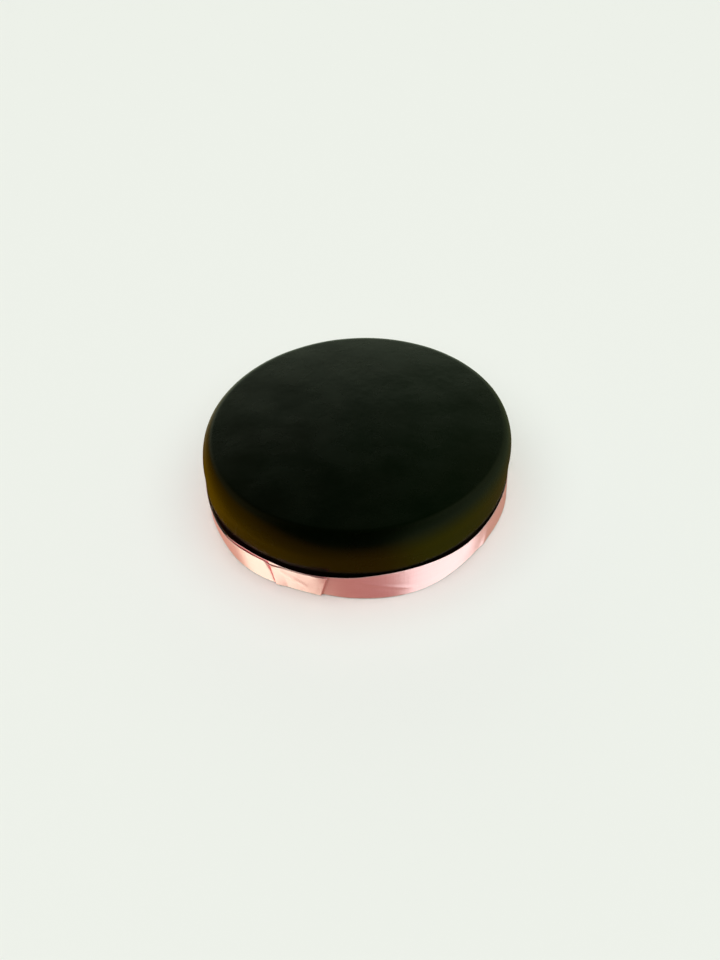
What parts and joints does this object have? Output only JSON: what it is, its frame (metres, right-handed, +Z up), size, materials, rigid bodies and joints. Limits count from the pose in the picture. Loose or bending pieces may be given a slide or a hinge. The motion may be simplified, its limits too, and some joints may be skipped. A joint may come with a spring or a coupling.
{
  "type": "round iced cake",
  "caption": "Round uncut cake under smooth black rolled icing with a softly rounded top edge, a pink satin ribbon wrapped round its foot and overlapping at the front.",
  "frame": {"origin": "centre of the cake's flat base, on the surface it stands on", "axes": "+Z up, -Y to the front, where the ribbon's outer end lies, +X to the right seen from the front"},
  "size_m": [0.2161, 0.2159, 0.0576],
  "materials": {
    "black_icing": "smooth rolled sugar icing with a soft eggshell sheen",
    "pink_satin": "pale pink satin with a soft lustre along its length and a dull back"
  },
  "bodies": {
    "root": {"cake": "black_icing", "ribbon": "pink_satin"}
  },
  "joints": []
}
